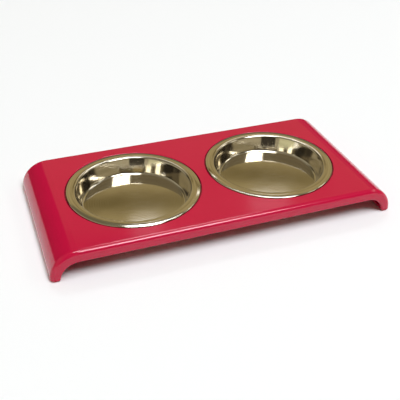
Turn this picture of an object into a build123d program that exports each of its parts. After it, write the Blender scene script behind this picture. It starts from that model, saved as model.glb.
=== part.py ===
from build123d import *
import os
from math import cos, radians, sin, tan

# A double pet bowl: a low moulded melamine stand, two steel dishes that drop into it and four rubber feet.
# Lengths are in millimetres and angles in degrees. X runs along the stand, Y to its back and Z up,
# from the floor under the middle of the stand.

# Dish: one deep-drawn steel pressing with a crowned flange and a rolled edge.
rim_diameter = 140.0
flange_width = 10.0
inside_depth = 17.5
wall_lean = 18.0
steel = 0.7
floor_bend = 3.0
mouth_bend = 2.0
flange_slope = 5.0
crown_share = 0.9
bead_radius = 1.1
bead_turn = 215.0

# Seat: the sunk ring in the deck that takes the dish's rim.
rim_gap = 1.0
seat_clearance = 0.15
seat_depth = 1.9
seat_thickness = 3.5
seat_border = 3.0
seat_edge_radius = 0.6
hole_gap = 2.3

# Stand: one moulding, hollow underneath, with rolled-down ends for legs and turned-down lips.
front_margin = 16.5
bridge_width = 12.4
end_margin = 33.8
deck_height = 30.0
end_radius = 28.5
edge_radius = 4.7
wall = 3.5
lip_height = 12.0
lip_thickness = 4.0
lip_edge_radius = 1.6
foot_thickness = 9.5
rail_roof = 2.0
sole_edge_share = 0.9
hollow_edge_radius = 2.0

# Feet: long rubber pads pressed into slots in the soles of the legs.
pad_length = 22.0
pad_margin = 2.5
pad_inset = 24.0
pad_sink = 2.0
pad_stand_off = 0.8
pad_clearance = 0.1
pad_chamfer = 0.3

# Overrun of every cut past the face that it opens.
overrun = 5.0

rim_radius = rim_diameter / 2
mouth_radius = rim_radius - flange_width
floor_radius = mouth_radius - inside_depth * tan(radians(wall_lean))
seat_radius = rim_radius + rim_gap
hole_radius = mouth_radius + steel + hole_gap
seat_height = deck_height - seat_depth
bowl_spacing = 2 * seat_radius + bridge_width
stand_length = bowl_spacing + 2 * (seat_radius + end_margin)
stand_depth = 2 * (seat_radius + front_margin)
sole_height = pad_stand_off
rail_top = sole_height + pad_sink + rail_roof
pad_width = foot_thickness - 2 * pad_margin


def disc(radius, bottom, top):
    """An upright cylinder between two heights."""
    upright = (Align.CENTER, Align.CENTER, Align.MIN)
    return Pos(0, 0, bottom) * Cylinder(radius, top - bottom, align=upright)


def arch(width, top, corner_radius, bottom):
    """The stand's end view: flat top, quarter-round corners, cut off level at the bottom."""
    rounded_height = top - bottom + corner_radius
    face = Pos(0, top - rounded_height / 2) * Rectangle(width, rounded_height)
    face = fillet(face.vertices().sort_by(Axis.Y)[-2:], corner_radius)
    return face & Pos(0, (top + bottom) / 2) * Rectangle(width, top - bottom)


def bridge(width, top, corner_radius, bottom, half_depth):
    """An arch drawn out evenly to the front and the back."""
    return extrude(Plane.XZ * arch(width, top, corner_radius, bottom), half_depth, both=True)


def end_edges(body):
    """The edges round a bridge's front and back faces, apart from those at the bottom."""
    faces = body.faces().sort_by(Axis.Y)
    return faces[0].edges().sort_by(Axis.Z)[1:] + faces[-1].edges().sort_by(Axis.Z)[1:]


def lip_lines(body):
    """The straight lower edges of the front and back lips, which run on round the legs."""
    faces = body.faces().sort_by(Axis.Y)
    return [face.edges().filter_by(Axis.X).sort_by(Axis.Z)[-2] for face in (faces[0], faces[-1])]


def make_dish():
    """The steel sheet's upper side as a line, thickened downwards and turned about Z."""
    slope = radians(flange_slope)
    bead_height = seat_height + seat_clearance + bead_radius
    flange_end = (rim_radius - bead_radius * (1 - sin(slope)), bead_height + bead_radius * cos(slope))
    half_flange = (flange_end[0] - mouth_radius) / 2
    crest = (mouth_radius + half_flange, flange_end[1] + half_flange * tan(slope))
    mouth = (mouth_radius, flange_end[1])
    floor_height = mouth[1] - inside_depth
    mouth_turn = radians(90 - wall_lean) - slope
    crown_run = (half_flange / cos(slope) - mouth_bend * tan(mouth_turn / 2)) * crown_share
    sheet = FilletPolyline(
        (0, floor_height),
        (floor_radius, floor_height),
        mouth,
        crest,
        flange_end,
        radius=[floor_bend, mouth_bend, crown_run / tan(slope)],
    )
    bead = JernArc(flange_end, (cos(slope), -sin(slope)), bead_radius, -bead_turn)
    upper_side = Wire(sheet.edges() + [bead])
    section = make_face(upper_side.offset_2d(steel, side=Side.RIGHT).edges())
    return revolve(Plane.XZ * section, Axis.Z)


def make_stand():
    """The hollow moulding, with its two seats and the four slots in its soles."""
    body = bridge(stand_length, deck_height, end_radius, sole_height, stand_depth / 2)
    body = fillet(end_edges(body), edge_radius)
    inside_length = stand_length - 2 * foot_thickness
    lip_foot = deck_height - lip_height
    body -= bridge(
        inside_length, lip_foot, end_radius - foot_thickness, sole_height - overrun, stand_depth / 2 + overrun
    )
    body = fillet(lip_lines(body), lip_edge_radius)
    hollow = bridge(
        stand_length - 2 * wall, deck_height - wall, end_radius - wall, rail_top, stand_depth / 2 - lip_thickness
    )
    body -= fillet(end_edges(hollow), hollow_edge_radius)
    for place in bowl_places:
        body += place * disc(seat_radius + seat_border, seat_height - seat_thickness, seat_height)
    for place in bowl_places:
        body -= place * disc(seat_radius, seat_height, deck_height + overrun)
        body -= place * disc(hole_radius, sole_height, deck_height)
    seat_edges = body.edges().filter_by(GeomType.CIRCLE).group_by(Axis.Z)[-1]
    body = fillet(seat_edges, seat_edge_radius)
    body = fillet(body.edges().group_by(Axis.Z)[0], lip_edge_radius * sole_edge_share)
    slot = SlotOverall(pad_length + 2 * pad_clearance, pad_width + 2 * pad_clearance, rotation=90)
    for place in pad_places.values():
        body -= place * Pos(0, 0, sole_height - overrun) * extrude(slot, pad_sink + overrun)
    return body


def make_pad():
    """A rubber pad, flat on top in its slot and flat below on the floor."""
    pad = extrude(SlotOverall(pad_length, pad_width, rotation=90), pad_stand_off + pad_sink)
    return chamfer(pad.edges().group_by(Axis.Z)[0], pad_chamfer)


bowl_places = [Pos(side * bowl_spacing / 2, 0, 0) for side in (-1, 1)]
pad_across = stand_length / 2 - foot_thickness / 2
pad_along = stand_depth / 2 - pad_inset
pad_places = {
    "foot_front_left": Pos(-pad_across, -pad_along, 0),
    "foot_front_right": Pos(pad_across, -pad_along, 0),
    "foot_back_left": Pos(-pad_across, pad_along, 0),
    "foot_back_right": Pos(pad_across, pad_along, 0),
}

dish = make_dish()
pad = make_pad()
nodes = {"stand": make_stand()}
for name, place in zip(("bowl_left", "bowl_right"), bowl_places):
    nodes[name] = place * dish
for name, place in pad_places.items():
    nodes[name] = place * pad

os.makedirs("parts", exist_ok=True)
for name, shape in nodes.items():
    export_step(shape, "parts/" + name + ".step")
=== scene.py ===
from math import cos, pi, radians, sin, tan

import bmesh
import bpy
from mathutils import Matrix, Vector


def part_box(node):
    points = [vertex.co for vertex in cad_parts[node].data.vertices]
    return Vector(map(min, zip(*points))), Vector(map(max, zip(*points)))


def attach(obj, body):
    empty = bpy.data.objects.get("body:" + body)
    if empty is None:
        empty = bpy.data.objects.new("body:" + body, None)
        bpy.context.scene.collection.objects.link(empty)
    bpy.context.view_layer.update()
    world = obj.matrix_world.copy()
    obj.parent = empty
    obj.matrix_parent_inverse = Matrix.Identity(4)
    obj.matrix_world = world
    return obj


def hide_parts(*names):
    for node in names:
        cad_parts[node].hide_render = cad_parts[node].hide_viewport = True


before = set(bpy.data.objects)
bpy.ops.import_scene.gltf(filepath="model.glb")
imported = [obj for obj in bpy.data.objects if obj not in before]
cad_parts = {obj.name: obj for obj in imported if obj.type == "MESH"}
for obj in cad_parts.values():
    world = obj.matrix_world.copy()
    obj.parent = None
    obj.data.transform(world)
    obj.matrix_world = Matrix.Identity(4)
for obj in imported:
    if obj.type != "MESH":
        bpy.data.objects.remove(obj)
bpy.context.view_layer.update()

# Stand: one compression moulding in red melamine, hollow underneath, with a flat deck, ends that roll
# down into legs and lips along the front and back. It carries the dishes and is fixed to nothing.
mm = 0.001
melamine_red = "#C4113E"
melamine_deep_red = "#BC0C38"
painted_crease_shade = "#4A0A1C"
pigment_cloud = 45 * mm
crease_reach = 2.5 * mm
crease_samples = 8
shaded_below = 0.55
unshaded_above = 0.9
mould_grain = 1.6 * mm
mould_grain_height = 0.004 * mm
melamine_roughness_low = 0.07
melamine_roughness_high = 0.13
melamine_ior = 1.5


def linear(colour):
    """A hex colour as linear red, green, blue and alpha."""
    shares = [int(colour[i : i + 2], 16) / 255 for i in (1, 3, 5)]
    return [c / 12.92 if c <= 0.04045 else ((c + 0.055) / 1.055) ** 2.4 for c in shares] + [1]


def add_node(tree, kind, settings=None, **inputs):
    """Adds a node. An input is named for its socket, with _ for a space, or for the socket's place, as i0.
    It is a value or another node's output."""
    node = tree.nodes.new(kind)
    for name, value in (settings or {}).items():
        setattr(node, name, value)
    for name, value in inputs.items():
        by_place = name[1:].isdigit()
        socket = node.inputs[int(name[1:]) if by_place else name.replace("_", " ")]
        if isinstance(value, bpy.types.NodeSocket):
            tree.links.new(value, socket)
        else:
            socket.default_value = value
    return node


def new_material(name):
    """An empty material, its node tree and its output node."""
    material = bpy.data.materials.new(name)
    material.use_nodes = True
    material.node_tree.nodes.clear()
    return material, material.node_tree, material.node_tree.nodes.new("ShaderNodeOutputMaterial")


def dress(node, material):
    """Puts a material in every slot of a CAD node's object."""
    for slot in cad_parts[node].material_slots:
        slot.material = material


# Melamine resin, compression moulded in a polished tool: a hard wet-looking gloss over an even pigment,
# with a faint orange peel that only softens the edges of reflections. Shade is painted into the colour in
# the seats' corners and other creases, darkening it where nearby surfaces close in.
melamine, tree, output = new_material("moulded_red_melamine")
place = add_node(tree, "ShaderNodeTexCoord").outputs["Object"]
cloud = add_node(tree, "ShaderNodeTexNoise", Vector=place, Scale=1 / pigment_cloud, Detail=3.0)
pigment = add_node(
    tree, "ShaderNodeMix", {"data_type": "RGBA"},
    i0=cloud.outputs["Fac"], i6=linear(melamine_deep_red), i7=linear(melamine_red),
)
# Painted shade: ambient occlusion darkens the pigment towards a deep red in corners and creases.
crease = add_node(
    tree, "ShaderNodeAmbientOcclusion", {"only_local": True, "samples": crease_samples},
    Distance=crease_reach,
)
unshaded = add_node(
    tree, "ShaderNodeMapRange", Value=crease.outputs["AO"], From_Min=shaded_below, From_Max=unshaded_above
)
crease_shaded = add_node(
    tree, "ShaderNodeMix", {"data_type": "RGBA"},
    i0=unshaded.outputs["Result"], i6=linear(painted_crease_shade), i7=pigment.outputs["Result"],
)
grain = add_node(tree, "ShaderNodeTexNoise", Vector=place, Scale=1 / mould_grain, Detail=2.0)
gloss = add_node(
    tree, "ShaderNodeMapRange", Value=grain.outputs["Fac"],
    To_Min=melamine_roughness_low, To_Max=melamine_roughness_high,
)
peel = add_node(
    tree, "ShaderNodeBump", Height=grain.outputs["Fac"], Distance=mould_grain_height, Strength=1.0
)
skin = add_node(
    tree, "ShaderNodeBsdfPrincipled", Base_Color=crease_shaded.outputs["Result"],
    Roughness=gloss.outputs["Result"], Normal=peel.outputs["Normal"], IOR=melamine_ior,
)
tree.links.new(skin.outputs["BSDF"], output.inputs["Surface"])
dress("stand", melamine)

# Feet: four rubber pads, each pressed into a slot in the sole of a leg so that the stand neither slips
# nor rattles on a hard floor.
rubber_black = "#2A2928"
rubber_worn = "#3A3836"
rubber_grain = 0.7 * mm
rubber_grain_height = 0.05 * mm
rubber_roughness = 0.8
rubber_ior = 1.52

# Moulded natural rubber: matt, nearly black, with a fine sandy grain and paler rubbed patches.
rubber, tree, output = new_material("moulded_black_rubber")
place = add_node(tree, "ShaderNodeTexCoord").outputs["Object"]
sand = add_node(tree, "ShaderNodeTexNoise", Vector=place, Scale=1 / rubber_grain, Detail=4.0)
rubbed = add_node(
    tree, "ShaderNodeMix", {"data_type": "RGBA"},
    i0=sand.outputs["Fac"], i6=linear(rubber_black), i7=linear(rubber_worn),
)
sandy = add_node(tree, "ShaderNodeBump", Height=sand.outputs["Fac"], Distance=rubber_grain_height)
skin = add_node(
    tree, "ShaderNodeBsdfPrincipled", Base_Color=rubbed.outputs["Result"], Roughness=rubber_roughness,
    Normal=sandy.outputs["Normal"], IOR=rubber_ior,
)
tree.links.new(skin.outputs["BSDF"], output.inputs["Surface"])
for node in ("foot_front_left", "foot_front_right", "foot_back_left", "foot_back_right"):
    dress(node, rubber)

# Dishes: two alike, each deep drawn from one stainless steel sheet, with a crowned flange and a rolled
# edge. Each hangs by its rolled edge in a sunk seat of the deck and lifts out for washing.
low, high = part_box("bowl_left")
rim_radius = (high.x - low.x) / 2
steel = 0.7 * mm
floor_height = low.z + steel
flange_width = 10 * mm
inside_depth = 17.5 * mm
wall_lean = radians(18)
flange_slope = radians(5)
floor_bend = 3 * mm
mouth_bend = 2 * mm
crown_share = 0.9
bead_radius = 1.1 * mm
bead_turn = radians(215)
bend_steps = 14
bead_steps = 42
bend_lead = 0.15 * mm
turn_steps = 240
weld_gap = steel / 1000
steel_tint = "#E4DCCA"
steel_shade = "#DAD2C0"
steel_roughness_low = 0.05
steel_roughness_high = 0.09
draw_wave = 30 * mm
draw_wave_height = 0.05 * mm
streak_length = 3.5 * mm
streak_width = 1.3 * mm
streak_height = 0.03 * mm
polish_line = 2.6 * mm
polish_line_height = 0.002 * mm
polish_line_wobble = 0.6
# The streaks come in as the surface's upward share falls from 1, level, to 0, upright.
streaks_begin_at = 0.9
streaks_full_at = 0.5
# A ring wave runs through this many radians in one unit of length at scale 1.
wave_radians = 20


def swung(spoke, angle):
    """A flat vector turned by an angle, anticlockwise when positive."""
    x = spoke.x * cos(angle) - spoke.y * sin(angle)
    y = spoke.x * sin(angle) + spoke.y * cos(angle)
    return Vector((x, y))


def arc(start, centre, angle, steps):
    """Points from start round a centre."""
    return [centre + swung(start - centre, angle * i / steps) for i in range(steps + 1)]


def rounded_line(corners, radii):
    """A line through corners with a tangent arc at each inner one, and a point on each side that keeps the
    straight runs straight when they are shaded smooth."""
    points = [corners[0]]
    for before, corner, after, radius in zip(corners, corners[1:], corners[2:], radii):
        inward, outward = (before - corner).normalized(), (after - corner).normalized()
        half = inward.angle(outward) / 2
        turn = (pi - 2 * half) * (1 if inward.cross(outward) < 0 else -1)
        centre = corner + (inward + outward).normalized() * radius / sin(half)
        bend = arc(corner + inward * radius / tan(half), centre, turn, bend_steps)
        points += [bend[0] + inward * bend_lead] + bend + [bend[-1] + outward * bend_lead]
    return points + [corners[-1]]


def turned_mesh(name, section):
    """A section of radii and heights that starts and ends on the axis, turned about Z."""
    mesh = bmesh.new()
    loop = [mesh.verts.new((r, 0, z)) for r, z in section]
    edges = [mesh.edges.new(pair) for pair in zip(loop, loop[1:])]
    bmesh.ops.spin(
        mesh, geom=loop + edges, axis=(0, 0, 1), cent=(0, 0, 0),
        steps=turn_steps, angle=2 * pi, use_merge=True,
    )
    bmesh.ops.remove_doubles(mesh, verts=mesh.verts, dist=weld_gap)
    bmesh.ops.recalc_face_normals(mesh, faces=mesh.faces)
    for face in mesh.faces:
        face.smooth = True
    data = bpy.data.meshes.new(name)
    mesh.to_mesh(data)
    mesh.free()
    return data


# The sheet's upper side runs from the middle of the floor out to the rolled edge, and the lower side lies
# one sheet's thickness below it.
mouth_radius = rim_radius - flange_width
mouth_height = floor_height + inside_depth
floor_radius = mouth_radius - inside_depth * tan(wall_lean)
flange_end = Vector((rim_radius - bead_radius * (1 - sin(flange_slope)), mouth_height))
half_flange = (flange_end.x - mouth_radius) / 2
crest = Vector((mouth_radius + half_flange, mouth_height + half_flange * tan(flange_slope)))
mouth_turn = pi / 2 - wall_lean - flange_slope
crown_run = (half_flange / cos(flange_slope) - mouth_bend * tan(mouth_turn / 2)) * crown_share
upper_side = rounded_line(
    [
        Vector((0, floor_height)),
        Vector((floor_radius, floor_height)),
        Vector((mouth_radius, mouth_height)),
        crest,
        flange_end,
    ],
    [floor_bend, mouth_bend, crown_run / tan(flange_slope)],
)
bead_centre = flange_end - bead_radius * Vector((sin(flange_slope), cos(flange_slope)))
upper_side += arc(flange_end, bead_centre, -bead_turn, bead_steps)[1:]
lower_side = []
for i, point in enumerate(upper_side):
    along = upper_side[min(i + 1, len(upper_side) - 1)] - upper_side[max(i - 1, 0)]
    lower_side.append(point + steel * Vector((along.y, -along.x)).normalized())
dish_mesh = turned_mesh("dish", upper_side + lower_side[::-1])

# Stainless steel, drawn and mirror polished: a bright, slightly warm mirror with a slow ripple left by the
# press, streaks round the wall that make the edges of reflections ragged, and fine turned polishing lines.
# The streaks and lines are drawn coarser here than real ones so that they show.
mirror_steel, tree, output = new_material("polished_stainless_steel")
coordinates = add_node(tree, "ShaderNodeTexCoord")
place = coordinates.outputs["Object"]
ripple = add_node(tree, "ShaderNodeTexNoise", Vector=place, Scale=1 / draw_wave, Detail=1.0)
lines = add_node(
    tree, "ShaderNodeTexWave", {"wave_type": "RINGS", "rings_direction": "Z"}, Vector=place,
    Scale=2 * pi / wave_radians / polish_line, Distortion=polish_line_wobble, Detail=1.0,
)
drawn_out = add_node(
    tree, "ShaderNodeVectorMath", {"operation": "MULTIPLY"},
    i0=place, i1=(1, 1, streak_length / streak_width),
)
streaks = add_node(
    tree, "ShaderNodeTexNoise", Vector=drawn_out.outputs["Vector"], Scale=1 / streak_length, Detail=2.0
)
rippled = add_node(tree, "ShaderNodeBump", Height=ripple.outputs["Fac"], Distance=draw_wave_height)
facing = add_node(tree, "ShaderNodeSeparateXYZ", Vector=coordinates.outputs["Normal"])
upright = add_node(
    tree, "ShaderNodeMapRange", Value=facing.outputs["Z"],
    From_Min=streaks_begin_at, From_Max=streaks_full_at,
)
streaked = add_node(
    tree, "ShaderNodeBump", Height=streaks.outputs["Fac"], Distance=streak_height,
    Strength=upright.outputs["Result"], Normal=rippled.outputs["Normal"],
)
lined = add_node(
    tree, "ShaderNodeBump", Height=lines.outputs["Fac"], Distance=polish_line_height,
    Normal=streaked.outputs["Normal"],
)
haze = add_node(
    tree, "ShaderNodeMapRange", Value=ripple.outputs["Fac"],
    To_Min=steel_roughness_low, To_Max=steel_roughness_high,
)
sheen = add_node(
    tree, "ShaderNodeMix", {"data_type": "RGBA"},
    i0=lines.outputs["Fac"], i6=linear(steel_shade), i7=linear(steel_tint),
)
skin = add_node(
    tree, "ShaderNodeBsdfPrincipled", Base_Color=sheen.outputs["Result"], Metallic=1.0,
    Roughness=haze.outputs["Result"], Normal=lined.outputs["Normal"],
)
tree.links.new(skin.outputs["BSDF"], output.inputs["Surface"])
dish_mesh.materials.append(mirror_steel)
for body in ("bowl_left", "bowl_right"):
    low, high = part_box(body)
    dish = bpy.data.objects.new("dish_" + body, dish_mesh)
    bpy.context.scene.collection.objects.link(dish)
    dish.location = ((low.x + high.x) / 2, (low.y + high.y) / 2, 0)
    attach(dish, body)
    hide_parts(body)

# Studio floor: a wide table top in matt white paint, one round sheet, level with the undersides of the
# pads. The stand rests on it, and it takes the shadow.
floor_reach = 12.0
floor_sides = 64
table_white = "#F7F7F6"

floor_mesh = bpy.data.meshes.new("studio_floor")
turns = [2 * pi * i / floor_sides for i in range(floor_sides)]
ring = [(floor_reach * cos(turn), floor_reach * sin(turn), 0) for turn in turns]
floor_mesh.from_pydata(ring, [], [range(floor_sides)])
floor = bpy.data.objects.new("studio_floor", floor_mesh)
bpy.context.scene.collection.objects.link(floor)
white, tree, output = new_material("white_table_top")
skin = add_node(tree, "ShaderNodeBsdfDiffuse", Color=linear(table_white))
tree.links.new(skin.outputs["BSDF"], output.inputs["Surface"])
floor_mesh.materials.append(white)

# Studio light: a dim warm room for the steel to mirror, palest at the horizon, with its walls, doorways,
# shelves and windows as panes, and soft boxes that stand far off, so that the floor is lit evenly. Azimuth
# runs from the back, +Y, towards +X, and elevation from the horizon up, both in degrees.
room_shades = (
    (0.0, "#ACA289"), (0.12, "#ACA289"), (0.17, "#736C5C"), (0.7, "#736C5C"),
    (0.76, "#7F7765"), (0.93, "#7F7765"), (1.0, "#958D7C"),
)
pane_edge = radians(0.5)
panes = {
    "left_doorway": {"azimuth": -27, "elevation": 18, "wide": 38, "tall": 38, "colour": "#453F36"},
    "right_cupboard": {"azimuth": 45, "elevation": 6, "wide": 36, "tall": 14, "colour": "#453F36"},
    "front_doorway": {"azimuth": 162, "elevation": 24, "wide": 46, "tall": 28, "colour": "#2E2A24"},
    "left_wall": {"azimuth": -88, "elevation": 26, "wide": 95, "tall": 30, "colour": "#AAA490"},
    "back_wall": {"azimuth": 22, "elevation": 33, "wide": 60, "tall": 18, "colour": "#AB9B71"},
    "shelf_1": {"azimuth": 14, "elevation": 34.3, "wide": 12, "tall": 1.4, "colour": "#6A5C38"},
    "shelf_2": {"azimuth": 27.5, "elevation": 31.9, "wide": 12, "tall": 1.3, "colour": "#6A5C38"},
    "back_rail": {"azimuth": 1, "elevation": 42, "wide": 30, "tall": 10, "colour": "#736C55"},
    "dark_screen": {"azimuth": -157, "elevation": 14, "wide": 30, "tall": 34, "colour": "#3F3A32"},
    "side_wall": {"azimuth": -114, "elevation": 4, "wide": 40, "tall": 9, "colour": "#D2CFA9"},
    "side_lamp": {"azimuth": -97, "elevation": 4, "wide": 8, "tall": 6, "colour": "#FFFCF2"},
    "window_1": {"azimuth": 77, "elevation": 40, "wide": 20, "tall": 9, "colour": "#FFFCF2", "glow": 3.0},
    "window_2": {"azimuth": 116, "elevation": 36, "wide": 18, "tall": 9, "colour": "#FFFCF2", "glow": 3.0},
    "spot_1": {"azimuth": 15.5, "elevation": 36.7, "wide": 3, "tall": 1, "colour": "#FFFFFF", "glow": 2.0},
    "spot_2": {"azimuth": 28, "elevation": 34.3, "wide": 4, "tall": 1, "colour": "#FFFFFF", "glow": 2.0},
}
soft_box_distance = 9.0
soft_box_edge = 0.2
soft_boxes = {
    "key": {"azimuth": 153, "elevation": 60, "wide": 25, "tall": 28, "glow": 15.0},
    "overhead": {"azimuth": 195, "elevation": 82, "wide": 20, "tall": 16, "glow": 13.0},
    "back": {"azimuth": 23, "elevation": 51, "wide": 18, "tall": 10, "glow": 9.5},
}
lamp_white = "#F2F7FF"


def towards(azimuth, elevation):
    """The unit vector in a direction given in degrees."""
    turn, rise = radians(azimuth), radians(elevation)
    return Vector((sin(turn) * cos(rise), cos(turn) * cos(rise), sin(rise)))


world = bpy.data.worlds.new("studio_room")
bpy.context.scene.world = world
world.use_nodes = True
tree = world.node_tree
tree.nodes.clear()
direction = add_node(tree, "ShaderNodeTexCoord").outputs["Generated"]
way = add_node(tree, "ShaderNodeSeparateXYZ", Vector=direction)
shades = add_node(tree, "ShaderNodeValToRGB", Fac=way.outputs["Z"])
stops = shades.color_ramp.elements
for height, _ in room_shades[1:-1]:
    stops.new(height)
for stop, (height, colour) in zip(stops, room_shades):
    stop.position = height
    stop.color = linear(colour)
azimuth = add_node(
    tree, "ShaderNodeMath", {"operation": "ARCTAN2"}, i0=way.outputs["X"], i1=way.outputs["Y"]
)
elevation = add_node(tree, "ShaderNodeMath", {"operation": "ARCSINE"}, i0=way.outputs["Z"])

# Each pane covers what comes before it, and shows its colour as it is written unless it has a glow.
seen = shades.outputs["Color"]
for pane in panes.values():
    shares = []
    for angle, middle, span in ((azimuth, "azimuth", "wide"), (elevation, "elevation", "tall")):
        turned = add_node(
            tree, "ShaderNodeMath", {"operation": "SUBTRACT"},
            i0=angle.outputs["Value"], i1=radians(pane[middle]),
        )
        wrapped = add_node(
            tree, "ShaderNodeMath", {"operation": "WRAP"}, i0=turned.outputs["Value"], i1=pi, i2=-pi
        )
        off = add_node(tree, "ShaderNodeMath", {"operation": "ABSOLUTE"}, i0=wrapped.outputs["Value"])
        half = radians(pane[span] / 2)
        share = add_node(
            tree, "ShaderNodeMapRange", {"interpolation_type": "SMOOTHSTEP"}, Value=off.outputs["Value"],
            From_Min=half - pane_edge, From_Max=half + pane_edge, To_Min=1.0, To_Max=0.0,
        )
        shares.append(share.outputs["Result"])
    inside = add_node(tree, "ShaderNodeMath", {"operation": "MULTIPLY"}, i0=shares[0], i1=shares[1])
    colour = [c * pane.get("glow", 1.0) for c in linear(pane["colour"])]
    covered = add_node(
        tree, "ShaderNodeMix", {"data_type": "RGBA"}, i0=inside.outputs["Value"], i6=seen, i7=colour
    )
    seen = covered.outputs["Result"]
room = add_node(tree, "ShaderNodeBackground", Color=seen)
add_node(tree, "ShaderNodeOutputWorld", Surface=room.outputs["Background"])

# Each soft box is brightest in its middle and fades out at its cloth's edges.
cloth_middle = 0.5
for name, box in soft_boxes.items():
    lamp = bpy.data.lights.new("soft_box_" + name, "AREA")
    lamp.shape = "RECTANGLE"
    lamp.size = 2 * soft_box_distance * tan(radians(box["wide"] / 2))
    lamp.size_y = 2 * soft_box_distance * tan(radians(box["tall"] / 2))
    lamp.energy = box["glow"] * pi * lamp.size * lamp.size_y
    lamp.color = linear(lamp_white)[:3]
    lamp.use_nodes = True
    tree = lamp.node_tree
    tree.nodes.clear()
    on_cloth = add_node(tree, "ShaderNodeNewGeometry").outputs["Parametric"]
    cloth = add_node(tree, "ShaderNodeSeparateXYZ", Vector=on_cloth)
    shares = []
    for across in ("X", "Y"):
        edge = add_node(
            tree, "ShaderNodeMath", {"operation": "PINGPONG"}, i0=cloth.outputs[across], i1=cloth_middle
        )
        share = add_node(
            tree, "ShaderNodeMapRange", {"interpolation_type": "SMOOTHSTEP"}, Value=edge.outputs["Value"],
            From_Max=soft_box_edge,
        )
        shares.append(share.outputs["Result"])
    fade = add_node(tree, "ShaderNodeMath", {"operation": "MULTIPLY"}, i0=shares[0], i1=shares[1])
    light = add_node(tree, "ShaderNodeEmission", Strength=fade.outputs["Value"])
    add_node(tree, "ShaderNodeOutputLight", Surface=light.outputs["Emission"])
    soft_box = bpy.data.objects.new("soft_box_" + name, lamp)
    bpy.context.scene.collection.objects.link(soft_box)
    aim = towards(box["azimuth"], box["elevation"])
    soft_box.location = aim * soft_box_distance
    soft_box.rotation_euler = aim.to_track_quat("Z", "Y").to_euler()

# Camera: seen from the front left and above, with the long lens of a product shot. Its place, aim and roll
# were fitted to the rims, the deck's edges and the legs, for a square frame.
frame_pixels = 400
focal_pixels = 683.2
sensor = 36.0
camera_azimuth = 200.92
camera_elevation = 34.26
camera_roll = radians(1.07)
camera_distance = 746 * mm
aim_point = Vector((-4.3, -3.2, 0)) * mm

lens = bpy.data.cameras.new("camera")
lens.sensor_width = sensor
lens.lens = focal_pixels * sensor / frame_pixels
camera = bpy.data.objects.new("camera", lens)
bpy.context.scene.collection.objects.link(camera)
back = towards(camera_azimuth, camera_elevation)
camera.location = aim_point + back * camera_distance
level = back.to_track_quat("Z", "Y").to_matrix()
camera.rotation_euler = (level @ Matrix.Rotation(camera_roll, 3, "Z")).to_euler()
bpy.context.scene.camera = camera
bpy.context.scene.view_settings.view_transform = "Standard"
